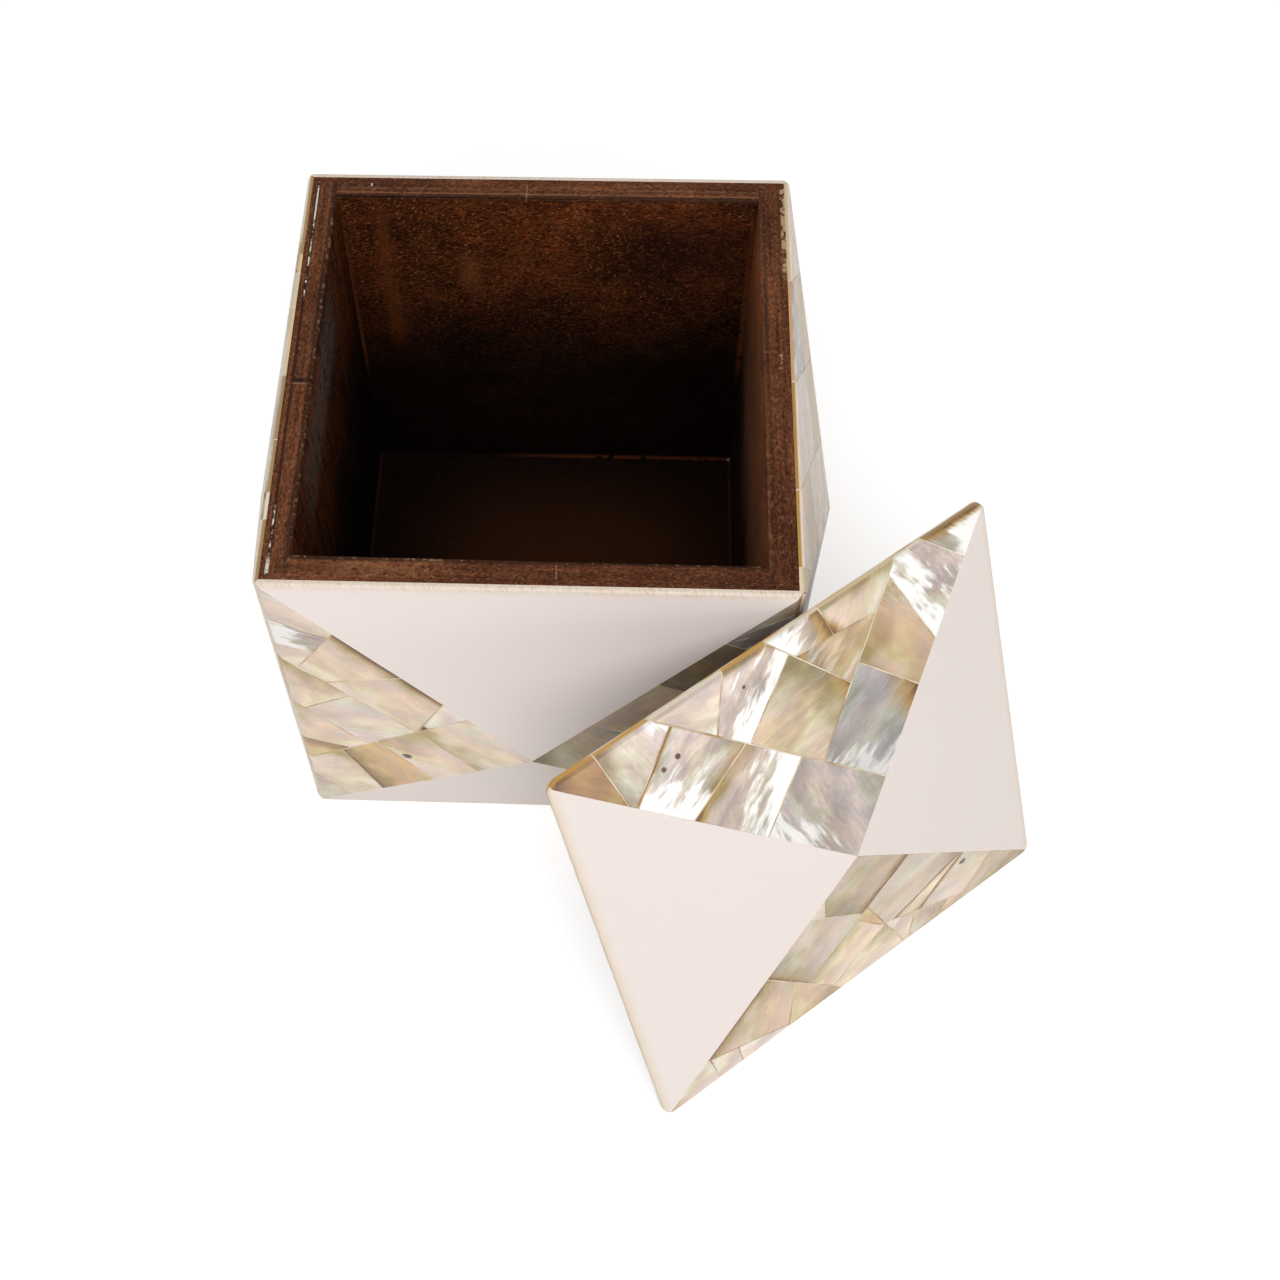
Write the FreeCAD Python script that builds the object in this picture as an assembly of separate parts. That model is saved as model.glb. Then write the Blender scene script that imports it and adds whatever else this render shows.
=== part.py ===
# Cube box with a lift-off lid, clad in cream resin plates and mosaics of shell tiles.
# Millimetres, +Z up. The origin is the middle of the base, X runs to the right along the front,
# and the front faces -Y. The box is open: the lid stands on its lower edge and leans, outer face
# out, on the front right corner of the box.
import FreeCAD
import Part
import math
import os

V = FreeCAD.Vector

# The box
width = 120.0         # across the rim, outside, left to right and front to back
height = 114.5        # base to rim
facet_rise = 14.0     # how far the middle of each side stands out past its edges
cladding = 1.2        # resin plates and shell tiles, square to their facet
block_edge = 1.6      # wood of a facet block along the rim
board = 4.7           # wall boards
floor_board = 3.0     # floor board, set between the walls
corner_ease = 1.6     # how far the flat sanded on each upright corner reaches along its sides

# The lid
lid_rise = 14.2       # how far the middle of the lid stands above its edges
lid_core_edge = 0.4   # wood of the lid core along its edges
lid_corner = 3.0      # radius of the lid's corners, seen from above
plug_thickness = 5.5  # board under the lid that drops into the opening
plug_clearance = 0.75  # between the plug and each wall board

# The shell mosaic
tile_joint = 0.3      # filler between two tiles

# How the lid leans
lean_angle = 67.0     # between the lid's underside and the floor, degrees
lean_turn = 37.5      # between the lid's lower edge and the front of the box, degrees
lean_offset = 8.9     # from the middle of the lid to the corner it leans on, along the edge
lean_gap = 0.3        # left between the lid and that corner

# Saw cuts that part a triangular panel into tiles, in the order they are made. Each is a line from
# one point to another, and parts the tile that its middle lies in. Points are in hundredths of the
# panel: along its outer edge, and from that edge to the apex.
broad_cuts = [
    (62, 78, 22, 0), (34, 70, 46, 49), (22, 45, 37, 30), (12.5, 28, 25, 6), (10, 0, 12.5, 28),
    (50, 56, 78, 0), (75, 52, 64, 28), (81, 39, 76, 5), (92, 15, 85, 0), (61, 33, 48, 0),
    (38, 31, 51, 9), (32.5, 21, 38, 0), (53, 11, 71, 14), (60, 0, 61, 11),
]
slanted_cuts = [
    (28, 52, 47, 0), (34, 36, 32, 0), (12, 22, 31, 4), (12, 21, 14, 0), (19, 15, 20, 0),
    (38, 27, 64, 74), (39, 76, 51, 53), (41.7, 71, 41.7, 82), (53, 54, 64, 0), (45, 9, 58, 29),
    (50, 50, 58, 28), (87, 25, 78, 0), (58, 30, 79, 7), (66.5, 21, 64.5, 0), (76, 10, 73, 0),
    (67, 21, 80, 46), (61, 29, 79, 46),
]
streaked_cuts = [
    (63, 76, 23, 0), (39, 76, 51, 54), (29, 57, 41, 35), (17, 32, 32, 19), (9, 18, 17, 0),
    (51, 53, 72, 0), (40, 28, 53, 0), (61, 28, 50, 7), (34.5, 0, 35, 20), (75, 52, 64, 17),
    (88, 28, 69, 9), (77, 0, 77, 16), (87, 0, 85, 23), (52.5, 54.5, 68, 67),
]
square_cuts = [
    (40, 77, 77, 0), (62, 76, 51, 54), (75, 52, 63, 29), (87, 28, 76, 5), (87, 28, 94, 0),
    (27, 53, 52, 0), (51, 54, 39, 29), (64, 28, 52, 6), (14, 27, 27, 0), (39, 28, 27, 4),
]

# Worked out from these
half = width / 2
rim_skin = cladding * math.hypot(facet_rise, height / 2) / (height / 2)  # cladding along the rim, level
wall_outside = half - rim_skin - block_edge
wall_inside = wall_outside - board
eased_out = half + corner_ease * facet_rise / half  # the sides already stand out where a flat ends
lid_skin = cladding * math.hypot(lid_rise, half) / half  # cladding at the lid's edge, upright
lid_edge = lid_core_edge + lid_skin
plug_half = wall_inside - plug_clearance
reach = 4 * (width + height + facet_rise + lid_rise)  # larger than anything it cuts
hair = 1e-6  # two points closer than this are the same


class Facet:
    """One triangle of a low pyramid: its outer edge runs from start to end, below the apex."""

    def __init__(self, start, end, apex, middle):
        self.start = start
        self.end = end
        self.apex = apex
        self.normal = (end - start).cross(apex - start).normalize()
        if self.normal.dot(apex - middle) < 0:
            self.normal = -self.normal

    def point(self, along, inward):
        """A point of the facet, along its outer edge and from that edge to the apex, in mm."""
        edge = self.end - self.start
        rise = self.apex - (self.start + self.end) * 0.5
        return self.start + edge * (along / edge.Length) + rise * (inward / rise.Length)

    def size(self):
        """Length of the outer edge, and distance from it to the apex."""
        return (self.end - self.start).Length, (self.apex - (self.start + self.end) * 0.5).Length


def pyramid(low_left, low_right, high_right, high_left, apex):
    """The four facets of a low pyramid, by where they lie as it is seen from outside."""
    middle = (low_left + high_right) * 0.5
    return {
        "low": Facet(low_left, low_right, apex, middle),
        "high": Facet(high_left, high_right, apex, middle),
        "left": Facet(low_left, high_left, apex, middle),
        "right": Facet(low_right, high_right, apex, middle),
    }


def trim(solid, planes):
    """Cut away what lies beyond each plane, given as a point and the way that is cut away."""
    for point, away in planes:
        beyond = Part.makeBox(reach, reach, reach, V(-reach / 2, -reach / 2, 0))
        beyond.Placement = FreeCAD.Placement(point, FreeCAD.Rotation(V(0, 0, 1), away))
        solid = solid.cut(beyond)
    return solid.Solids[0]


def facet_core(blank, facets):
    """The wood under the cladding: the blank, cut to the inner face of all four facets."""
    return trim(blank, [(f.apex - f.normal * cladding, f.normal) for f in facets.values()])


def facet_slab(blank, facets, place):
    """The cladding on one facet, mitred against the other three."""
    facet = facets[place]
    others = [other for name, other in facets.items() if name != place]
    planes = [(facet.apex, facet.normal), (facet.apex - facet.normal * cladding, -facet.normal)]
    planes += [(facet.apex, other.normal - facet.normal) for other in others]
    return trim(blank, planes)


def side_of(point, start, end):
    """Above zero on the left of the line from start to end, below zero on its right."""
    return (end - start).cross(point - start).z


def left_half(outline, start, end):
    """The part of a convex outline that lies on the left of a line."""
    kept = []
    for here, there in zip(outline, outline[1:] + outline[:1]):
        a = side_of(here, start, end)
        b = side_of(there, start, end)
        if a >= 0:
            kept.append(here)
        if a * b < 0:
            kept.append(here + (there - here) * (a / (a - b)))
    return kept


def contains(outline, point):
    """Whether a point lies inside a convex outline that turns to the left."""
    return all(side_of(point, a, b) > 0 for a, b in zip(outline, outline[1:] + outline[:1]))


def saw(panel, cuts):
    """Part a panel into tiles with straight cuts."""
    tiles = [panel]
    for start, end in cuts:
        whole = next(tile for tile in tiles if contains(tile, (start + end) * 0.5))
        tiles.remove(whole)
        tiles += [left_half(whole, start, end), left_half(whole, end, start)]
    return tiles


def on_border(a, b, panel):
    """Whether the side from a to b lies along the border of the panel."""
    for p, q in zip(panel, panel[1:] + panel[:1]):
        strays = [abs(side_of(end, p, q)) / p.distanceToPoint(q) for end in (a, b)]
        if max(strays) < hair:
            return True
    return False


def fitted(tile, panel):
    """Draw a tile back from its joints, and let it run past the border of the panel."""
    lines = []
    for a, b in zip(tile, tile[1:] + tile[:1]):
        shift = cladding if on_border(a, b, panel) else -tile_joint / 2
        outward = (b - a).cross(V(0, 0, 1)).normalize()
        lines.append((a + outward * shift, b - a))
    corners = []
    for (p, along), (q, other) in zip(lines[-1:] + lines[:-1], lines):
        corners.append(p + along * ((q - p).cross(other).z / along.cross(other).z))
    return corners


def mosaic(slab, facet, cuts, mirrored):
    """Shell tiles cut from a facet's slab of cladding, and the filler left in their joints."""
    length, rise = facet.size()
    panel = [V(0, 0, 0), V(length, 0, 0), V(length / 2, rise, 0)]
    lines = []
    for x0, y0, x1, y1 in cuts:
        ends = [V(x / 100 * length, y / 100 * rise, 0) for x, y in ((x0, y0), (x1, y1))]
        if mirrored:
            ends = [V(length - end.x, end.y, 0) for end in ends]
        lines.append(ends)
    tiles = []
    for outline in saw(panel, lines):
        corners = [facet.point(c.x, c.y) for c in fitted(outline, panel)]
        face = Part.Face(Part.makePolygon(corners + corners[:1]))
        tiles.append(slab.common(face.extrude(facet.normal * -cladding)).Solids[0])
    return Part.makeCompound(tiles), slab.cut(tiles)


def save(name, shape, place):
    """Put a piece in its place and write it to its own file."""
    piece = shape.copy()
    piece.Placement = place.multiply(piece.Placement)
    piece.exportStep(f"parts/{name}.step")


def clad(prefix, blank, facets, names, shell, place):
    """Resin plates and shell panels on the four facets of one pyramid.

    names says what each facet is called, and shell gives the cuts of those that are mosaics.
    """
    for where, name in names.items():
        slab = facet_slab(blank, facets, where)
        if where in shell:
            cuts, mirrored = shell[where]
            tiles, filler = mosaic(slab, facets[where], cuts, mirrored)
            save(f"{prefix}_{name}_tiles", tiles, place)
            save(f"{prefix}_{name}_filler", filler, place)
        else:
            save(f"{prefix}_{name}_plate", slab, place)


def box_side(name, turn, names, shell):
    """A facet block with its cladding, made at the front and turned about the box to its side."""
    depth = half + facet_rise - wall_outside
    blank = Part.makeBox(width, depth, height, V(-half, -half - facet_rise, 0))
    ends = []
    for x in (-1, 1):
        mitre = (V(0, 0, 0), V(x, 1, 0))
        eased = (V(x * (half - corner_ease), -eased_out, 0), V(x, -1, 0))
        ends += [mitre, eased]
    blank = trim(blank, ends)
    apex = V(0, -half - facet_rise, height / 2)
    corners = [V(x, -half, z) for x, z in ((-half, 0), (half, 0), (half, height), (-half, height))]
    facets = pyramid(*corners, apex)
    place = FreeCAD.Placement(V(0, 0, 0), FreeCAD.Rotation(V(0, 0, 1), turn))
    save(f"{name}_facet_block", facet_core(blank, facets), place)
    clad(name, blank, facets, names, shell, place)


def box_boards():
    """Side boards the full depth, front and back boards between them, and the floor board inside."""
    deep = 2 * wall_outside
    inside = 2 * wall_inside
    boards = {
        "left_wall_board": (-wall_outside, -wall_outside, board, deep, height),
        "right_wall_board": (wall_inside, -wall_outside, board, deep, height),
        "front_wall_board": (-wall_inside, -wall_outside, inside, board, height),
        "back_wall_board": (-wall_inside, wall_inside, inside, board, height),
        "floor_board": (-wall_inside, -wall_inside, inside, inside, floor_board),
    }
    for name, (x, y, size_x, size_y, size_z) in boards.items():
        save(name, Part.makeBox(size_x, size_y, size_z, V(x, y, 0)), FreeCAD.Placement())


def lean():
    """Place of the leaning lid: its lower edge on the floor, its top against the front right corner."""
    tilt = math.radians(lean_angle)
    turn = math.radians(lean_turn)
    away = V(math.sin(turn), -math.cos(turn), 0)
    along = V(math.cos(turn), math.sin(turn), 0)
    eased = [V(half - corner_ease, -eased_out, 0), V(eased_out, -half + corner_ease, 0)]
    corner = max(eased, key=away.dot)
    edge_reach = half * math.cos(tilt)
    plug_reach = plug_half * math.cos(tilt) + plug_thickness * math.sin(tilt)
    stand_off = away.dot(corner) + lean_gap + max(edge_reach, plug_reach)
    foot = away * stand_off + along * (along.dot(corner) - lean_offset)
    rotation = FreeCAD.Rotation(V(0, 0, 1), lean_turn) * FreeCAD.Rotation(V(1, 0, 0), lean_angle)
    return FreeCAD.Placement(foot + V(0, 0, half * math.sin(tilt)), rotation)


def lid():
    """Core, locating plug and cladding, made flat with the underside at zero and then leaned."""
    place = lean()
    blank = Part.makeBox(width, width, lid_edge + lid_rise, V(-half, -half, 0))
    upright = [edge for edge in blank.Edges if abs(edge.tangentAt(edge.FirstParameter).z) > 0.5]
    blank = blank.makeFillet(lid_corner, upright)
    apex = V(0, 0, lid_edge + lid_rise)
    corners = [V(x, y, lid_edge) for x, y in ((-half, -half), (half, -half), (half, half), (-half, half))]
    facets = pyramid(*corners, apex)
    save("lid_core", facet_core(blank, facets), place)
    plug_at = V(-plug_half, -plug_half, -plug_thickness)
    save("lid_plug", Part.makeBox(2 * plug_half, 2 * plug_half, plug_thickness, plug_at), place)
    names = {"low": "front", "high": "back", "left": "left", "right": "right"}
    shell = {"low": (slanted_cuts, False), "high": (broad_cuts, False)}
    clad("lid", blank, facets, names, shell, place)


os.makedirs("parts", exist_ok=True)
box_boards()
box_side("front", 0, {"low": "bottom", "high": "top", "left": "left", "right": "right"},
         {"left": (streaked_cuts, False), "right": (square_cuts, False)})
box_side("right", 90, {"low": "bottom", "high": "top", "left": "front", "right": "back"},
         {"low": (broad_cuts, True), "high": (square_cuts, True)})
box_side("back", 180, {"low": "bottom", "high": "top", "left": "right", "right": "left"},
         {"left": (slanted_cuts, True), "right": (broad_cuts, True)})
box_side("left", 270, {"low": "bottom", "high": "top", "left": "back", "right": "front"},
         {"low": (streaked_cuts, True), "high": (slanted_cuts, True)})
lid()
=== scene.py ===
import bmesh
import bpy
import math
import random
from mathutils import Matrix, Vector


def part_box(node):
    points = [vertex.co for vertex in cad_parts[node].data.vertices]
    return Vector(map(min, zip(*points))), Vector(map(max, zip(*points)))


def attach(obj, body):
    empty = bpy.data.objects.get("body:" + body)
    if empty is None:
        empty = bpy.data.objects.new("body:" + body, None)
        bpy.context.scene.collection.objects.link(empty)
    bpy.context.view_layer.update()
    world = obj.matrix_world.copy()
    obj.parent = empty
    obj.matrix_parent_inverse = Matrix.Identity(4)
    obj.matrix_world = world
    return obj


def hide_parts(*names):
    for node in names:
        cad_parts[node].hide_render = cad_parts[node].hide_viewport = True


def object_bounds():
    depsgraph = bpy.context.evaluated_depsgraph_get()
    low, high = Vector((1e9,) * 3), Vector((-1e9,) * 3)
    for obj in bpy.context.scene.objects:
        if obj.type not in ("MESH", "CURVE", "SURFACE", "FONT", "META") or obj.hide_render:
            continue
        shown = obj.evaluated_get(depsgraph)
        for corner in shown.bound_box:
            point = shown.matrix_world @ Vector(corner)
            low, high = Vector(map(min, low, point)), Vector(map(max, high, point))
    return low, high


# A cube box with a lift-off lid, clad in cream resin and mother of pearl over stained fibreboard.
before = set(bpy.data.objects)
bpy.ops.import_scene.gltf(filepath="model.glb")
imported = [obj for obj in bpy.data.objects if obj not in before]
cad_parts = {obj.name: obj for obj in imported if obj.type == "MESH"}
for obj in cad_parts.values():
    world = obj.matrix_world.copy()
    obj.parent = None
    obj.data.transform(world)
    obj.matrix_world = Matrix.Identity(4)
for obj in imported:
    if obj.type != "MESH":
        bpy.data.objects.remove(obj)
cad_low, cad_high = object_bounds()

MM = 0.001
UP = Vector((0, 0, 1))


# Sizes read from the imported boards, in mm
def corner(node, high):
    """Lowest or highest corner of a piece, in mm."""
    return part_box(node)[high] / MM


rim = corner("left_wall_board", True).z             # height of the rim
inner = corner("right_wall_board", False).x         # from the middle to the inside of a wall
outer = corner("right_wall_board", True).x          # from the middle to the outside of a wall board
floor_top = corner("floor_board", True).z           # upper side of the floor board
plug_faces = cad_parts["lid_plug"].data.polygons
lid_axis = max(plug_faces, key=lambda face: face.area).normal.copy()  # square to the lid's flat underside

# How the pieces are finished by hand, in mm
tile_ease = 0.1        # edges of tiles and plates inside a panel, rubbed down
border_ease = 0.9      # edges along the rim, the corners and round the lid, sanded over
border_reach = 1.8     # how far in from a panel's outer edge its eased border may bend
rim_ease = 0.9         # inner edge of the rim, worn round by hands
weld = 0.001           # corners closer than this are one corner
ease_steps = 3         # strips that draw a rounded edge

# How faces are told apart. A slope is the cosine between a face and the panel that it belongs to.
flat_angle = math.radians(0.5)  # neighbours that turn by less than this are one flat face
upright_rise = 0.001            # panels whose normal rises by less than this stand upright
polished_slope = 0.999          # faces of the polished side are above it
border_slope = 0.9              # faces that meet the polished side at its outer edge are below it
joint_slope = 0.6               # sides of the joints are below it
end_share = 0.1                 # part of a panel that counts as its end

# The camera of the photograph, in mm and degrees
camera_place = Vector((19.15, -260.26, 456.14))
camera_azimuth = 3.69
camera_elevation = 58.67
camera_roll = -1.95
photo_width = 1280            # pixels, as wide as high
focal_pixels = 1833.1
optical_centre = (555.1, 561.8)  # pixel that the camera points at
sensor_width = 36.0           # mm


# Colours and nodes
def linear(code):
    """A colour from its sRGB hex code, as linear red, green, blue and alpha."""
    parts = [int(code[i:i + 2], 16) / 255 for i in (0, 2, 4)]
    return [p / 12.92 if p <= 0.04045 else ((p + 0.055) / 1.055) ** 2.4 for p in parts] + [1.0]


def add(tree, kind, inputs, out=0, stops=(), **settings):
    """Add a node with its settings, fill its sockets with values or other outputs, give one output."""
    made = tree.nodes.new("ShaderNode" + kind)
    for name, value in settings.items():
        setattr(made, name, value)
    if stops:
        ramp = made.color_ramp.elements
        ramp.remove(ramp[1])
        ramp[0].position, ramp[0].color = stops[0]
        for spot, colour in stops[1:]:
            ramp.new(spot).color = colour
    for socket, value in inputs.items():
        if isinstance(value, bpy.types.NodeSocket):
            tree.links.new(value, made.inputs[socket])
        else:
            made.inputs[socket].default_value = value
    return made.outputs[out] if made.outputs else None


# Settings that repeat. A Mix node of colours has the second colour's share in input 0 and the two colours
# in 6 and 7. A smooth Map Range node eases in and out.
COLOURS = {"out": 2, "data_type": "RGBA"}
SMOOTH = {"interpolation_type": "SMOOTHSTEP"}


def new_material(name):
    """An empty material and its node tree."""
    material = bpy.data.materials.new(name)
    material.use_nodes = True
    material.node_tree.nodes.clear()
    return material, material.node_tree


def place_in_mm(tree):
    """Where a point is in the box's own frame, in mm."""
    place = add(tree, "TexCoord", {}, out="Object")
    return add(tree, "VectorMath", {0: place, "Scale": 1 / MM}, operation="SCALE")


def band(tree, value, middle, half, blur):
    """1 where a value is within half of the middle, fading to 0 over the blur."""
    off = add(tree, "Math", {0: value, 1: middle}, operation="SUBTRACT")
    off = add(tree, "Math", {0: off}, operation="ABSOLUTE")
    spread = {"Value": off, "From Min": half + blur, "From Max": half, "To Min": 0.0, "To Max": 1.0}
    return add(tree, "MapRange", spread, **SMOOTH)


# Mother of pearl: each finish has a body colour, a second colour that it turns to at one end, and how
# much of it flashes white with painted highlights
finishes = {
    "white": ("D6CCC0", "B28E4C", 1.0),
    "silver": ("CFC7BE", "A8946C", 0.8),
    "steel": ("B0AEAB", "8E8F8E", 0.6),
    "snow": ("FBF3EA", "D2BC92", 0.4),
    "mist": ("D4C9BC", "B4A584", 0.3),
    "pale_mist": ("F0E2D2", "C2B084", 0.15),
    "pearl": ("DCCDB8", "AA9760", 0.2),
    "pale_pearl": ("F5E6CE", "BEA763", 0.08),
    "rose": ("E2C8A4", "AF9150", 0.15),
    "pale_rose": ("F6E2C9", "BBA05A", 0.06),
    "honey": ("C2A67A", "93763C", 0.35),
    "gold": ("D0B892", "A6853F", 0.3),
    "tan": ("E0BB80", "A88642", 0.1),
    "bronze": ("E4BE7A", "6E4E22", 0.1),
    "amber": ("A67C40", "7A5420", 0.15),
    "olive": ("D2BF9E", "8F8048", 0.2),
    "horn": ("A0875C", "6A5432", 0.05),
}
# Finishes of the tiles that the photograph does not show
common_finishes = ["snow", "mist", "pale_mist", "pearl", "pale_pearl", "rose", "pale_rose", "gold", "tan",
                   "olive"]
edge_colours = ["C8963F", "D8C6A4", "E6DAC2", "EADFCB", "D9C296", "9F8050"]  # cut edges, horn to nacre

# The tiles that the photograph shows. Each has a point on it, from the middle of the panel's outer
# edge and in from that edge in mm, its finish, the way its growth lines run, the end where it turns to
# its second colour, the end where it turns to dark horn and the end where its painted white highlights
# fall. Ways and ends are angles on the panel in degrees, and an end has its reach in mm.
shown_tiles = {
    "lid_back": [
        (-52, 6, "amber", 40, (190, 8), None, None), (-40, 7, "silver", 70, (180, 6), None, (-25, 4)),
        (-24, 4, "mist", 15, None, None, (60, 7)), (-32, 16, "white", -27, (63, 6), (228, 1), (136, 15)),
        (-20, 30, "white", -38, (243, 6), (230, 2.5), (40, 15)), (0, 48, "silver", 78, None, None, (165, 14)),
        (-12, 9, "white", -42, (-90, 3), None, (45, 12)), (0, 20, "olive", -10, (323, 16), (0, 5), None),
        (15, 33, "steel", -22, None, (0, 8), (110, 12)), (5, 3, "white", -35, (0, 8), (0, 4), (180, 14)),
        (22, 3, "pearl", -45, (-90, 4), (150, 3), (0, 10)), (17, 12, "honey", -25, (180, 14), (200, 3), None),
        (28, 18, "gold", 60, (185, 16), None, (-80, 9)), (40, 10, "white", 65, (90, 6), None, (150, 19)),
        (52, 3, "white", 50, (-90, 4), (-90, 2), (40, 12)),
    ],
    "lid_front": [
        (0, 48, "olive", 14, (225, 12), (313, 4), None), (-11.5, 47, "pale_mist", 80, None, None, None),
        (-13, 32, "pearl", 60, (215, 12), (215, 2), None), (-30, 18, "rose", 85, (136, 11), (136, 3), None),
        (-52, 4, "pale_mist", 10, (180, 8), None, None), (-40, 6, "pale_mist", 70, None, None, (0, 6)),
        (-30, 4, "snow", 20, None, None, (-70, 9)), (-13, 10, "rose", 100, (-60, 12), None, None),
        (-2, 18, "pale_rose", 45, (150, 12), None, None), (4, 27, "tan", 60, None, None, None),
        (7, 7, "pale_pearl", 10, (70, 12), None, None), (15, 8, "pale_mist", 70, None, None, (90, 6)),
        (24, 6, "pearl", 100, (-20, 9), None, None), (32, 2, "rose", 20, (180, 4), None, None),
        (46, 6, "olive", 35, (-60, 10), None, None), (33, 16, "pale_mist", -35, None, (135, 2), (-90, 14)),
        (24, 21, "pale_pearl", 40, (-60, 5), (116, 1.5), None), (19, 30, "pearl", 20, (0, 8), None, None),
    ],
    "front_left": [
        (1, 48, "pale_pearl", 112, (-130, 9), None, None), (13, 42, "snow", 150, None, (180, 3), (20, 6)),
        (-11, 34, "pale_rose", 95, (-60, 16), None, None), (-24, 23, "bronze", 155, (245, 9), (245, 5), None),
        (-32, 9, "pale_pearl", 60, (25, 14), None, None), (-48, 4, "mist", 50, (-10, 12), None, None),
        (-22, 4, "tan", 70, (0, 9), (60, 5), None), (-9, 7, "pale_rose", 80, (-15, 16), None, None),
        (0, 18, "pale_mist", 78, None, None, None), (13, 7, "pale_rose", 30, (0, 20), (0, 3), None),
        (16, 27, "pale_rose", 140, (43, 9), (43, 2.5), None),
        (31, 18, "pale_rose", 130, (43, 10), (43, 3), None),
        (26, 4, "pale_mist", 90, None, None, None), (36, 6, "white", 95, (180, 4), None, (-90, 12)),
        (47, 5, "pale_mist", 95, None, None, None),
    ],
    "front_right": [
        (0, 50, "olive", 20, (70, 9), None, None), (13, 42, "rose", 120, None, None, None),
        (35, 16, "horn", 40, (160, 8), None, None), (46, 5, "silver", 110, None, None, None),
    ],
    "right_top": [
        (47, 5, "pale_rose", 0, None, None, None), (17, 5, "steel", 0, (90, 6), None, None),
        (28, 17, "tan", 0, None, None, None), (13, 32, "tan", 5, None, None, None),
        (-1, 17, "pale_rose", 0, (90, 6), None, None), (-13, 5, "pale_rose", 0, None, None, None),
        (-1, 46, "pale_rose", 0, (90, 8), None, None), (-15, 31, "pale_rose", -5, (90, 7), None, None),
        (-30, 17, "tan", 0, (90, 8), None, None), (-41, 7, "pale_rose", 0, (90, 5), None, None),
        (-54, 4, "tan", 0, None, None, None),
    ],
}

# Cut edges of tiles that show along the rim: place on the panel and colour
shown_edges = {
    "right_top": [(47, 5, "C9B48C"), (17, 5, "C99C68"), (-13, 5, "A8802F"), (-41, 7, "B08A32"),
                  (-54, 4, "E3D3B4")],
}

# Worm holes and knots in those tiles: place on the panel and radius in mm
shown_pits = {
    "lid_back": [(-35, 12.5, 0.8), (-31, 11.5, 0.9), (-11, 6.2, 0.5)],
    "lid_front": [(35, 21.5, 1.3)],
    "front_left": [(-14.2, 28.5, 1.5), (4, 34.5, 1.4)],
}

# Tiles without an end, a flash or a pit, and tiles that the photograph does not show
far_off = 100.0              # shares of an end's reach, beyond any effect
even_painted_glare = 0.6                    # shares of a bright end's reach, for a tile whose painted flashes are even
no_pit = (1000, 1000, 1)     # off every panel
seed_span = 500              # mm, over which the tiles' patterns are spread
warm_reaches = (4, 14)       # mm, the second colour's least and greatest reach
dark_reaches = (2, 5)        # mm, the dark horn's
dark_share = 0.25            # part of the tiles with a dark end
tile_draws = random.Random(7)


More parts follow.
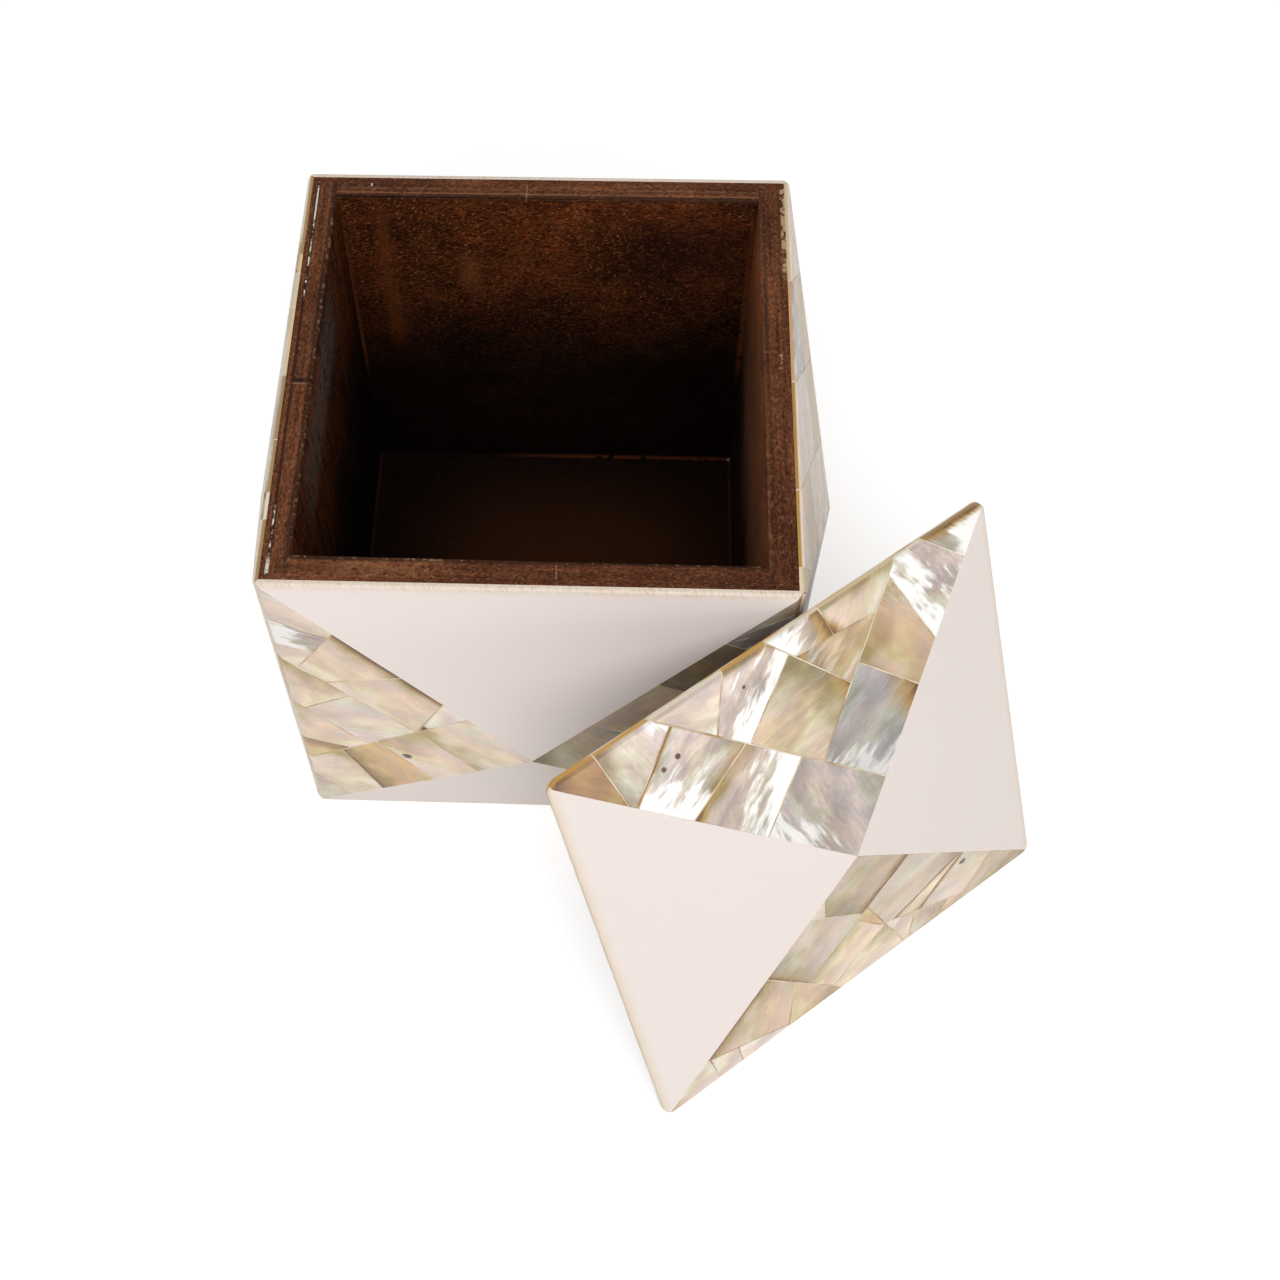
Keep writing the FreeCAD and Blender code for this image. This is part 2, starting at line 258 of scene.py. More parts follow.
def mother_of_pearl():
    """Shell sawn into tiles and polished flat.

    Its layers lie at a slant under the polish, which gives the eye fine growth lines, faint pink and green,
    and a clear gloss. Satin folds of light and shade and white flashes with ragged edges are painted into
    its colour as sheen and highlights.
    """
    material, tree = new_material("mother_of_pearl_polished")
    # Sizes in mm
    sway_size = 14.0            # bends in the growth lines
    sway_reach = 2.5            # how far they bend
    cloud_size = 7.0            # patches of colour
    fire_width = 16.0           # one run through pink, gold and green
    pit_fray = 1.0              # ragged rims of the worm holes
    cut_start, cut_full = 0.2, 0.7  # below the polish, where the cut edge's colour starts and is full
    relief = 0.2                # height of the folds
    # Each layer of the pattern: its length along the growth lines and width across them, and its detail
    layer_sizes = {"hair": (9.0, 0.55, 2.0), "fold": (10.0, 6.0, 1.0), "ripple": (2.2, 0.9, 3.0),
                   "painted_flash": (9.0, 2.6, 2.0)}

    # Shares and colours
    fire_share = 0.25
    fire_run = [(0.0, "EBA88F"), (0.25, "E5BC78"), (0.45, "BFC486"), (0.6, "C4BDB0"), (0.8, "DBAEB4"),
                (1.0, "EBA88F")]
    horn_stages = ((1.9, 1.0, "A98236"), (1.3, 0.8, "6E4614"))
    painted_flash_white = "FCFAF6"
    hole_brown = "4E2E10"

    grain = add(tree, "Attribute", {}, out="Vector", attribute_name="shell_grain")
    ends = add(tree, "Attribute", {}, out="Vector", attribute_name="shell_ends")
    warm = add(tree, "SeparateXYZ", {0: ends}, out="X")
    dark = add(tree, "SeparateXYZ", {0: ends}, out="Y")
    depth = add(tree, "SeparateXYZ", {0: ends}, out="Z")
    # How strongly a tile is painted with white highlights, and how far each point is from the end where they
    # are strongest
    light = add(tree, "Attribute", {}, out="Vector", attribute_name="shell_light")
    painted_flashing = add(tree, "SeparateXYZ", {0: light}, out="X")
    painted_glare_end = add(tree, "SeparateXYZ", {0: light}, out="Y")
    body = add(tree, "Attribute", {}, out="Color", attribute_name="shell_body")
    second = add(tree, "Attribute", {}, out="Color", attribute_name="shell_second")
    edge = add(tree, "Attribute", {}, out="Color", attribute_name="shell_edge")

    sway = add(tree, "TexNoise", {"Vector": grain, "Scale": 1 / sway_size, "Detail": 1.0}, out="Color")
    sway = add(tree, "VectorMath", {0: sway, 1: (0.5, 0.5, 0.5)}, operation="SUBTRACT")
    sway = add(tree, "VectorMath", {0: sway, 1: (sway_reach, sway_reach, 0)}, operation="MULTIPLY")
    bent = add(tree, "VectorMath", {0: grain, 1: sway}, operation="ADD")
    across = add(tree, "SeparateXYZ", {0: bent}, out="Y")
    cloud = add(tree, "TexNoise", {"Vector": grain, "Scale": 1 / cloud_size, "Detail": 1.5})
    layers = {}
    for name, (length, width, detail) in layer_sizes.items():
        # Each layer stretches the tile's own seed by another number, so that no two look alike
        stretch = (1 / length, 1 / width, len(layers) + 1)
        drawn = add(tree, "VectorMath", {0: bent, 1: stretch}, operation="MULTIPLY")
        layers[name] = add(tree, "TexNoise", {"Vector": drawn, "Scale": 1.0, "Detail": detail,
                                              "Roughness": 0.55})

    # The second colour at one end
    turn = add(tree, "Math", {0: cloud, 1: 1.2, 2: warm}, operation="MULTIPLY_ADD")
    turn = add(tree, "Math", {0: layers["hair"], 1: 0.12, 2: turn}, operation="MULTIPLY_ADD")
    turn = add(tree, "MapRange", {"Value": turn, "From Min": 1.6, "From Max": 0.6}, **SMOOTH)
    colour = add(tree, "Mix", {0: turn, 6: body, 7: second}, **COLOURS)

    # Pink, gold and green
    phase = add(tree, "Math", {0: across, 1: 1 / fire_width, 2: cloud}, operation="MULTIPLY_ADD")
    phase = add(tree, "Math", {0: layers["fold"], 1: 1.1, 2: phase}, operation="MULTIPLY_ADD")
    phase = add(tree, "Math", {0: layers["hair"], 1: 0.15, 2: phase}, operation="MULTIPLY_ADD")
    phase = add(tree, "Math", {0: phase}, operation="FRACT")
    fire = add(tree, "ValToRGB", {0: phase}, stops=[(spot, linear(code)) for spot, code in fire_run])
    colour = add(tree, "Mix", {0: fire_share, 6: colour, 7: fire}, **COLOURS, blend_type="COLOR")

    # Painted light and shade of satin folds and ripples, with growth lines: faint on pale tiles, strong on
    # those that flash
    for name, low, high, faint, strong, most in (("fold", 0.32, 0.66, 0.84, 0.64, 1.08),
                                                 ("hair", 0.3, 0.7, 0.985, 0.94, 1.03),
                                                 ("ripple", 0.3, 0.7, 0.97, 0.76, 1.03)):
        least = add(tree, "MapRange", {"Value": painted_flashing, "To Min": faint, "To Max": strong})
        lined = add(tree, "MapRange", {"Value": layers[name], "From Min": low, "From Max": high,
                                       "To Min": least, "To Max": most})
        colour = add(tree, "Mix", {0: 1.0, 6: colour, 7: lined}, **COLOURS, blend_type="MULTIPLY")

    # White flashes: painted highlights, strongest towards the end of a tile where its painted glare falls
    white = add(tree, "Math", {0: painted_glare_end, 1: -0.42, 2: layers["painted_flash"]}, operation="MULTIPLY_ADD")
    white = add(tree, "Math", {0: layers["ripple"], 1: 0.2, 2: white}, operation="MULTIPLY_ADD")
    white = add(tree, "Math", {0: layers["hair"], 1: 0.2, 2: white}, operation="MULTIPLY_ADD")
    white = add(tree, "MapRange", {"Value": white, "From Min": 0.42, "From Max": 0.62}, **SMOOTH)
    bright = add(tree, "MapRange", {"Value": painted_flashing, "From Min": 0.12})
    white = add(tree, "Math", {0: white, 1: bright}, operation="MULTIPLY")
    colour = add(tree, "Mix", {0: white, 6: colour, 7: linear(painted_flash_white)}, **COLOURS)

    # Dark horn at one end, and worm holes
    horned = add(tree, "Math", {0: layers["hair"], 1: 0.6, 2: dark}, operation="MULTIPLY_ADD")
    horned = add(tree, "Math", {0: cloud, 1: 0.9, 2: horned}, operation="MULTIPLY_ADD")
    for start, end, shade in horn_stages:
        horn = add(tree, "MapRange", {"Value": horned, "From Min": start, "From Max": end}, **SMOOTH)
        colour = add(tree, "Mix", {0: horn, 6: colour, 7: linear(shade)}, **COLOURS)
    fray = add(tree, "TexNoise", {"Vector": grain, "Scale": 1 / pit_fray, "Detail": 2.0})
    for name in ("shell_pit_one", "shell_pit_two"):
        spot = add(tree, "Attribute", {}, out="Vector", attribute_name=name)
        off = add(tree, "VectorMath", {0: spot}, out="Value", operation="LENGTH")
        off = add(tree, "Math", {0: fray, 1: 0.9, 2: off}, operation="MULTIPLY_ADD")
        hole = add(tree, "MapRange", {"Value": off, "From Min": 1.45, "From Max": 1.1})
        colour = add(tree, "Mix", {0: hole, 6: colour, 7: linear(hole_brown)}, **COLOURS)

    # The sawn edge, then the polish
    cut = add(tree, "MapRange", {"Value": depth, "From Min": cut_start, "From Max": cut_full}, **SMOOTH)
    colour = add(tree, "Mix", {0: cut, 6: colour, 7: edge}, **COLOURS)
    rough = add(tree, "MapRange", {"Value": layers["hair"], "From Min": 0.3, "From Max": 0.7, "To Min": 0.22,
                                   "To Max": 0.28})
    height = add(tree, "Math", {0: layers["ripple"], 1: 0.12, 2: layers["fold"]}, operation="MULTIPLY_ADD")
    bump = add(tree, "Bump", {"Height": height, "Distance": relief * MM, "Strength": 1.0})
    shader = add(tree, "BsdfPrincipled", {"Base Color": colour, "Roughness": rough, "Normal": bump,
                                          "Metallic": 0.2, "IOR": 1.55, "Coat Weight": 0.4,
                                          "Coat Roughness": 0.05})
    add(tree, "OutputMaterial", {"Surface": shader})
    return material


def cast_cream_resin():
    """Polyester resin cast in sheets and sanded to a satin.

    It is an even warm white with a few specks and short scratches. The eased edges are tan, and on the
    box they keep the slanting strokes of a coarse file.
    """
    material, tree = new_material("cream_resin_cast")
    # Sizes in mm, except where they say otherwise
    cloud_size = 40.0                        # faint changes of tint
    shoulder_size, shoulder_sway = 6.0, 2.0  # how the tan shoulder wanders along the edge
    shoulder_end, shoulder_full = 1.6, -1.0  # in from the edge, where the tan ends and is full
    file_width, file_length = 0.45, 5.0      # strokes of the file
    file_end, file_full = 2.0, 0.8           # in from the edge, where they end and are full
    file_slant = math.radians(28)
    speck_spacing = 19.0
    speck_rim, speck_heart = 0.022, 0.012    # in shares of the spacing
    scratch_length, scratch_width = 3.2, 0.4
    scratch_slant = math.radians(-25)
    sanding_size, sanding_depth = 0.6, 0.02  # drawn coarser than the real grit, so that it shows

    place = add(tree, "Attribute", {}, out="Vector", attribute_name="panel_place")
    filed = add(tree, "Attribute", {}, out="Fac", attribute_name="panel_filed")
    from_edge = add(tree, "SeparateXYZ", {0: place}, out="Y")
    cloud = add(tree, "TexNoise", {"Vector": place, "Scale": 1 / cloud_size, "Detail": 2.0})
    colour = add(tree, "Mix", {0: cloud, 6: linear("EDE1DA"), 7: linear("F0E5DF")}, **COLOURS)

    # Tan shoulder and file strokes along the eased edge
    shoulder = add(tree, "TexNoise", {"Vector": place, "Scale": 1 / shoulder_size, "Detail": 3.0})
    shoulder = add(tree, "Math", {0: shoulder, 1: -shoulder_sway, 2: from_edge}, operation="MULTIPLY_ADD")
    tanned = add(tree, "MapRange", {"Value": filed, "To Min": 0.6, "To Max": 0.4})
    shoulder = add(tree, "MapRange", {"Value": shoulder, "From Min": shoulder_end, "From Max": shoulder_full,
                                      "To Max": tanned})
    colour = add(tree, "Mix", {0: shoulder, 6: colour, 7: linear("E2CBAC")}, **COLOURS)
    stroke = add(tree, "VectorRotate", {"Vector": place, "Angle": file_slant}, rotation_type="Z_AXIS")
    stretch = (1 / file_width, 1 / file_length, 1)
    stroke = add(tree, "VectorMath", {0: stroke, 1: stretch}, operation="MULTIPLY")
    stroke = add(tree, "TexNoise", {"Vector": stroke, "Scale": 1.0, "Detail": 3.0})
    stroke = add(tree, "MapRange", {"Value": stroke, "From Min": 0.46, "From Max": 0.7, "To Max": 0.75})
    near = add(tree, "MapRange", {"Value": from_edge, "From Min": file_end, "From Max": file_full})
    near = add(tree, "Math", {0: stroke, 1: near}, operation="MULTIPLY")
    near = add(tree, "Math", {0: filed, 1: near}, operation="MULTIPLY")
    colour = add(tree, "Mix", {0: near, 6: colour, 7: linear("D4BA92")}, **COLOURS)

    # Specks and short scratches
    speck = add(tree, "TexVoronoi", {"Vector": place, "Scale": 1 / speck_spacing}, out="Distance")
    speck = add(tree, "MapRange", {"Value": speck, "From Min": speck_rim, "From Max": speck_heart,
                                   "To Max": 0.7})
    colour = add(tree, "Mix", {0: speck, 6: colour, 7: linear("B5A08A")}, **COLOURS)
    scratch = add(tree, "VectorRotate", {"Vector": place, "Angle": scratch_slant}, rotation_type="Z_AXIS")
    stretch = (1 / scratch_length, 1 / scratch_width, 1)
    scratch = add(tree, "VectorMath", {0: scratch, 1: stretch}, operation="MULTIPLY")
    scratch = add(tree, "TexNoise", {"Vector": scratch, "Scale": 1.0, "Detail": 1.0})
    scratch = add(tree, "MapRange", {"Value": scratch, "From Min": 0.79, "From Max": 0.84, "To Max": 0.6})
    colour = add(tree, "Mix", {0: scratch, 6: colour, 7: linear("D8C0A4")}, **COLOURS)

    # The sanded satin
    sanded = add(tree, "TexNoise", {"Vector": place, "Scale": 1 / sanding_size, "Detail": 3.0})
    rough = add(tree, "MapRange", {"Value": sanded, "To Min": 0.42, "To Max": 0.54})
    bump = add(tree, "Bump", {"Height": sanded, "Distance": sanding_depth * MM, "Strength": 0.5})
    shader = add(tree, "BsdfPrincipled", {"Base Color": colour, "Roughness": rough, "Normal": bump,
                                          "IOR": 1.52, "Specular IOR Level": 0.35})
    add(tree, "OutputMaterial", {"Surface": shader})
    return material


def resin_filler():
    """Tinted resin wiped into the joints and sanded flush: thin lines from cream to tan."""
    material, tree = new_material("resin_filler_sanded")
    tint_size = 9.0                    # mm
    grit_size, grit_depth = 0.4, 0.05  # mm
    place = place_in_mm(tree)
    tint = add(tree, "TexNoise", {"Vector": place, "Scale": 1 / tint_size, "Detail": 3.0})
    tint = add(tree, "MapRange", {"Value": tint, "From Min": 0.35, "From Max": 0.6})
    colour = add(tree, "Mix", {0: tint, 6: linear("B48F55"), 7: linear("EFE3CC")}, **COLOURS)
    grit = add(tree, "TexNoise", {"Vector": place, "Scale": 1 / grit_size, "Detail": 2.0})
    bump = add(tree, "Bump", {"Height": grit, "Distance": grit_depth * MM, "Strength": 0.5})
    shader = add(tree, "BsdfPrincipled", {"Base Color": colour, "Roughness": 0.45, "Normal": bump,
                                          "IOR": 1.5})
    add(tree, "OutputMaterial", {"Surface": shader})
    return material


def stained_fibreboard(name, along, marks=(), painted_light=1.0, brushed=0.1):
    """Medium density fibreboard, sawn, wiped with dark brown stain and sealed matt.

    The stain takes unevenly, in clouds from dark to red brown, and painted shade turns the walls near black
    low down. Fine grit and pale chips a millimetre or two long show through it. The sawn rim is paler, with
    fine lines along the board, and the inside of the side walls keeps upright brush strokes. The board runs
    along one axis. Its level of painted light makes the inside lighter or darker, as light falls on that
    wall, and brushed is how strong the strokes are.
    """
    material, tree = new_material(name)
    # Sizes in mm, except where they say otherwise
    cloud_size, blot_size = 30.0, 6.0    # patches where the stain took more or less
    break_size = 1.6                     # gaps in the marks
    chip_length, chip_width = 2.0, 0.45
    rim_start, rim_full = 1.2, 0.3       # below the rim, where its paler colour starts and is full
    relief = 0.1                         # height of the chips
    chip_tilts = (-0.4, 0.5)             # the two ways that chips lie, in radians
    dark_end, light_full = 0.34, 0.97    # shares of the height, where the painted shade low down is full and where it has gone
    least_gap, gap_range, gap_edge = 0.2, 0.4, 0.1  # levels of the breaks: lowest, range and blur
    # Patterns drawn out one way: that way, their length along it and width across it, and their detail.
    # The grit is coarser than real fibres, so that it shows.
    drawn_out = {"grit": (along, 1.1, 0.55, 2.0), "line": (along, 30.0, 0.9, 3.0),
                 "brush": ("Z", 40.0, 1.4, 3.0)}

    place = place_in_mm(tree)
    xyz = {axis: add(tree, "SeparateXYZ", {0: place}, out=axis) for axis in "XYZ"}
    cloud = add(tree, "TexNoise", {"Vector": place, "Scale": 1 / cloud_size, "Detail": 3.0,
                                   "Roughness": 0.55})
    blot = add(tree, "TexNoise", {"Vector": place, "Scale": 1 / blot_size, "Detail": 3.0, "Roughness": 0.6})
    broken = add(tree, "TexNoise", {"Vector": place, "Scale": 1 / break_size, "Detail": 3.0})
    drawn = {}
    for kind, (way, length, width, detail) in drawn_out.items():
        stretch = tuple(1 / (length if axis == way else width) for axis in "XYZ")
        stretched = add(tree, "VectorMath", {0: place, 1: stretch}, operation="MULTIPLY")
        drawn[kind] = add(tree, "TexNoise", {"Vector": stretched, "Scale": 1.0, "Detail": detail,
                                             "Roughness": 0.6})
    stretch = tuple(1 / (chip_length if axis == along else chip_width) for axis in "XYZ")
    lying = []
    for tilt in chip_tilts:
        chip = add(tree, "VectorRotate", {"Vector": place, "Rotation": (tilt, tilt, tilt)},
                   rotation_type="EULER_XYZ")
        chip = add(tree, "VectorMath", {0: chip, 1: stretch}, operation="MULTIPLY")
        lying.append(add(tree, "TexNoise", {"Vector": chip, "Scale": 1.0, "Detail": 1.0}))
    chip = add(tree, "Math", {0: lying[0], 1: lying[1]}, operation="MAXIMUM")
    on_rim = add(tree, "MapRange", {"Value": xyz["Z"], "From Min": rim - rim_start,
                                    "From Max": rim - rim_full})
    # Up the walls: 0 low down, where painted shade darkens them, to 1 near the rim; the pale chips fade with
    # it
    high = add(tree, "MapRange", {"Value": xyz["Z"], "From Min": rim * dark_end,
                                  "From Max": rim * light_full}, **SMOOTH)

    # Stain, with painted shade low down on the walls
    take = add(tree, "Math", {0: blot, 1: 0.5, 2: cloud}, operation="MULTIPLY_ADD")
    take = add(tree, "MapRange", {"Value": take, "From Min": 0.58, "From Max": 0.94})
    wall = add(tree, "Mix", {0: take, 6: linear("30160A"), 7: linear("663218")}, **COLOURS)
    painted_shade = add(tree, "Mix", {0: take, 6: linear("0D0502"), 7: linear("1A0C06")}, **COLOURS)
    wall = add(tree, "Mix", {0: high, 6: painted_shade, 7: wall}, **COLOURS)
    sawn = add(tree, "Mix", {0: take, 6: linear("502C1A"), 7: linear("6B4029")}, **COLOURS)
    colour = add(tree, "Mix", {0: on_rim, 6: wall, 7: sawn}, **COLOURS)

    # Lines along the rim, brush strokes down the walls, each wall's level of painted light, and grit
    stroke = add(tree, "Mix", {0: on_rim, 2: drawn["brush"], 3: drawn["line"]})
    spread = add(tree, "MapRange", {"Value": on_rim, "To Min": brushed, "To Max": 0.45})
    stroke = add(tree, "Math", {0: stroke, 1: 0.5}, operation="SUBTRACT")
    stroke = add(tree, "Math", {0: stroke, 1: 5.0}, operation="MULTIPLY")
    # Below the rim, the wall's colour is scaled by its level of painted light
    level = add(tree, "MapRange", {"Value": on_rim, "To Min": painted_light, "To Max": 1.0})
    stroke = add(tree, "Math", {0: stroke, 1: spread, 2: level}, operation="MULTIPLY_ADD")
    colour = add(tree, "Mix", {0: 1.0, 6: colour, 7: stroke}, **COLOURS, blend_type="MULTIPLY")
    coarse = add(tree, "MapRange", {"Value": on_rim, "To Min": 0.85, "To Max": 0.62})
    grain = add(tree, "MapRange", {"Value": drawn["grit"], "From Min": 0.3, "From Max": 0.7, "To Min": -1.0})
    grain = add(tree, "Math", {0: grain, 1: coarse, 2: 1.0}, operation="MULTIPLY_ADD")
    colour = add(tree, "Mix", {0: 1.0, 6: colour, 7: grain}, **COLOURS, blend_type="MULTIPLY")

    # Pale chips, then the marks
    pale = add(tree, "MapRange", {"Value": chip, "From Min": 0.64, "From Max": 0.76})
    pale = add(tree, "Math", {0: pale, 1: high}, operation="MULTIPLY")
    chips = add(tree, "MapRange", {"Value": on_rim, "To Min": 1.0, "To Max": 0.5})
    pale = add(tree, "Math", {0: pale, 1: chips}, operation="MULTIPLY")
    flake = add(tree, "Mix", {0: on_rim, 6: linear("A86636"), 7: linear("A97855")}, **COLOURS)
    colour = add(tree, "Mix", {0: pale, 6: colour, 7: flake}, **COLOURS)
    for shade, strength, gaps, bands in marks:
        start = least_gap + gap_range * gaps
        mask = add(tree, "MapRange", {"Value": broken, "From Min": start, "From Max": start + gap_edge,
                                      "To Max": strength})
        for axis, middle, half, blur in bands:
            inside = band(tree, xyz[axis], middle, half, blur)
            mask = add(tree, "Math", {0: mask, 1: inside}, operation="MULTIPLY")
        colour = add(tree, "Mix", {0: mask, 6: colour, 7: linear(shade)}, **COLOURS)

    rough = add(tree, "MapRange", {"Value": blot, "To Min": 0.5, "To Max": 0.75})
    height = add(tree, "Math", {0: drawn["grit"], 1: 0.6, 2: chip}, operation="MULTIPLY_ADD")
    bump = add(tree, "Bump", {"Height": height, "Distance": relief * MM, "Strength": 0.8})
    shader = add(tree, "BsdfPrincipled", {"Base Color": colour, "Roughness": rough, "Normal": bump,
                                          "IOR": 1.5, "Specular IOR Level": 0.08})
    add(tree, "OutputMaterial", {"Surface": shader})
    return material


def resin_sealed_core():
    """The lid's core: stained fibreboard underneath, its thin edge sealed with cream and amber resin."""
    material, tree = new_material("lid_core_sealed_edge")
    tint_size = 14.0                     # mm
    fibre_size, fibre_relief = 0.8, 0.05  # mm, coarser than real fibres, so that they show
    underside = 0.5                      # cosine to the lid's axis: the flat faces are above it
    place = place_in_mm(tree)
    tint = add(tree, "TexNoise", {"Vector": place, "Scale": 1 / tint_size, "Detail": 2.0})
    tint = add(tree, "MapRange", {"Value": tint, "From Min": 0.4, "From Max": 0.6})
    edge = add(tree, "Mix", {0: tint, 6: linear("C99A50"), 7: linear("E9DDC6")}, **COLOURS)
    fibre = add(tree, "TexNoise", {"Vector": place, "Scale": 1 / fibre_size, "Detail": 3.0})
    board = add(tree, "Mix", {0: fibre, 6: linear("3E2012"), 7: linear("704630")}, **COLOURS)
    facing = add(tree, "TexCoord", {}, out="Normal")
    facing = add(tree, "VectorMath", {0: facing, 1: lid_axis}, out="Value", operation="DOT_PRODUCT")
    facing = add(tree, "Math", {0: facing}, operation="ABSOLUTE")
    facing = add(tree, "Math", {0: facing, 1: underside}, operation="GREATER_THAN")
    colour = add(tree, "Mix", {0: facing, 6: edge, 7: board}, **COLOURS)
    bump = add(tree, "Bump", {"Height": fibre, "Distance": fibre_relief * MM, "Strength": 0.5})
    shader = add(tree, "BsdfPrincipled", {"Base Color": colour, "Roughness": 0.5, "Normal": bump, "IOR": 1.5})
    add(tree, "OutputMaterial", {"Surface": shader})
    return material


# Marks on the boards: seams of pale glue, score lines across the rim, brushed and rubbed places, and painted
# sheen, highlights and light on the inside. Each is a colour, its strength, how broken it is, and the bands
# that hold it. A band has its axis, its middle, half its width and its blur, in mm.
on_top = ("Z", rim, 1.0, 0.3)
seam = ("X", -outer, 0.1, 0.14)
left_inside = ("X", -inner, 0.5, 0.3)
right_inside = ("X", inner, 0.5, 0.3)
back_inside = ("Y", inner, 0.5, 0.3)
dried_glue = "EDE6DC"
dark_line = "24140C"
score_line = "A87C5A"
glue_marks = [
    ("2A1710", 0.8, 0.0, [("X", -outer, 0.2, 0.3), on_top]),
    (dried_glue, 0.95, 0.7, [seam, ("Y", 36, 14, 3), on_top]),
    (dried_glue, 0.95, 0.45, [seam, ("Y", 52, 5, 1), on_top]),
    (dried_glue, 0.95, 0.6, [seam, ("Y", -46, 5, 2), on_top]),
    ("E4DBCE", 0.95, 0.3, [("X", -outer, 0.2, 0.35), ("Y", -55.5, 0.8, 2.4), on_top]),
]
left_marks = glue_marks + [
    # Painted sheen: a grey glossy reflection on the inside of the left wall, below the rim
    ("5F544D", 0.65, 0.45, [("Z", rim - 13, 4, 9), ("Y", -2, 20, 16), left_inside]),
    ("1E1410", 0.8, 0.1, [("Y", -4.7, 0.35, 0.5), on_top]),
    ("9A7458", 0.5, 0.4, [("Y", -5.6, 0.15, 0.2), on_top]),
    (dark_line, 0.7, 0.3, [("X", -inner - 0.6, 0.4, 0.6), on_top]),
    ("B08E70", 0.4, 0.9, [("X", -inner - 0.3, 0.2, 0.3), on_top]),
]
right_marks = [
    ("A56A42", 0.5, 0.7, [("X", inner + 0.5, 0.5, 0.6), ("Y", -36, 12, 8), on_top]),
    (score_line, 0.6, 0.5, [("Y", 5.9, 0.1, 0.15), ("X", inner + 1.6, 1.6, 0.6), on_top]),
    ("B98C64", 0.8, 0.85, [("Y", 3, 2.5, 3), ("X", outer - 1.2, 0.8, 0.6), on_top]),
    (dark_line, 0.4, 0.3, [("X", inner + 0.8, 0.3, 0.7), on_top]),
    (dark_line, 0.4, 0.3, [("X", outer, 0.1, 0.4), on_top]),
    ("6F3F20", 0.5, 0.4, [("Z", rim - 16, 6, 12), ("Y", -20, 30, 16), right_inside]),
    # Painted sheen: a grey glossy reflection on the inside of the right wall
    ("5F544D", 0.4, 0.5, [("Z", rim * 0.5, 8, 14), ("Y", 13, 8, 8), right_inside]),
    ("8C6A50", 0.3, 0.3, [("Z", rim * 0.74, 16, 24), ("Y", 0, 50, 8), right_inside]),
]
edge_marks = [
    ("C3A480", 0.85, 0.55, [("X", outer + 1.1, 0.4, 0.4), ("Y", 44, 12, 5), on_top]),
]
front_marks = [
    (score_line, 0.5, 0.5, [("X", 6.1, 0.1, 0.15), on_top]),
    ("A87450", 0.3, 0.6, [("X", -30, 8, 10), on_top]),
    (dark_line, 0.7, 0.1, [("Y", -inner - 0.4, 0.3, 0.6), on_top]),
    ("B08E70", 0.6, 0.9, [("Y", -inner - 0.3, 0.2, 0.3), on_top]),
]
back_marks = [
    (dark_line, 0.7, 0.2, [("Y", inner + 0.5, 0.3, 0.5), on_top]),
    ("8F6548", 0.55, 0.4, [("Y", inner + 1.5, 0.1, 0.25), on_top]),
    ("8A6146", 0.4, 0.55, [("Y", inner + 3.0, 0.08, 0.25), on_top]),
    (score_line, 0.5, 0.4, [("X", -5.1, 0.1, 0.15), on_top]),
    ("D9C8B4", 0.8, 0.5, [("X", -43.9, 0.15, 0.15), ("Y", inner + 4.0, 0.3, 0.3), on_top]),
    # Painted highlights: pale red-brown streaks down the left part of the back wall
    ("6E3A1A", 0.4, 0.3, [("X", -42, 0.6, 2.4), ("Z", rim * 0.74, rim * 0.16, 16), back_inside]),
    ("8A5330", 0.35, 0.0, [("X", -20.7, 0.6, 4), ("Z", rim * 0.76, 2, 8), back_inside]),
    ("25100A", 0.6, 0.05, [("X", 36, 5, 20), ("Z", rim * 0.84, 3, 18), back_inside]),
    ("6A381C", 0.6, 0.3, [("X", -inner + 0.4, 0.2, 0.6), ("Z", rim * 0.66, rim * 0.16, 22)]),
    ("6A381C", 0.7, 0.3, [("X", inner - 0.6, 0.3, 0.9), ("Z", rim * 0.66, rim * 0.16, 22)]),
    ("6E3A1E", 0.6, 0.3, [("Z", floor_top + 0.3, 0.2, 0.4), ("X", 26, 18, 30)]),
]
floor_marks = [
    # Painted light: a soft, paler pool in the middle of the floor
    ("643618", 0.5, 0.1, [("X", 8, 12, 50), ("Y", -10, 16, 50)]),
    ("4E2A16", 0.6, 0.4, [("X", inner - 0.4, 0.2, 0.5)]),
    ("3E2012", 0.6, 0.4, [("X", -inner + 0.4, 0.2, 0.5)]),
    ("6E3A1E", 0.6, 0.4, [("Y", inner - 0.4, 0.2, 0.4), ("X", 26, 18, 30)]),
    ("CFC3B4", 0.8, 0.5, [("X", inner - 0.5, 0.3, 0.3), ("Y", inner - 0.5, 0.3, 0.3)]),
]

shell = mother_of_pearl()
resin = cast_cream_resin()
filler = resin_filler()
fibreboards = {
    # The side walls' inside is painted darker on the left and lighter on the right, as light falls on them
    "left_wall_board": stained_fibreboard("fibreboard_left_wall", "Y", left_marks, painted_light=0.55, brushed=0.8),
    "right_wall_board": stained_fibreboard("fibreboard_right_wall", "Y", right_marks, painted_light=3.4, brushed=1.2),
    "front_wall_board": stained_fibreboard("fibreboard_front_wall", "X", front_marks),
    "back_wall_board": stained_fibreboard("fibreboard_back_wall", "X", back_marks),
    "floor_board": stained_fibreboard("fibreboard_floor", "X", floor_marks),
    "left_facet_block": stained_fibreboard("fibreboard_left_block", "Y", glue_marks),
    "right_facet_block": stained_fibreboard("fibreboard_right_block", "Y", edge_marks),
    "front_facet_block": stained_fibreboard("fibreboard_front_block", "X"),
    "lid_core": resin_sealed_core(),
}
fibreboards["back_facet_block"] = fibreboards["front_facet_block"]
fibreboards["lid_plug"] = fibreboards["front_facet_block"]


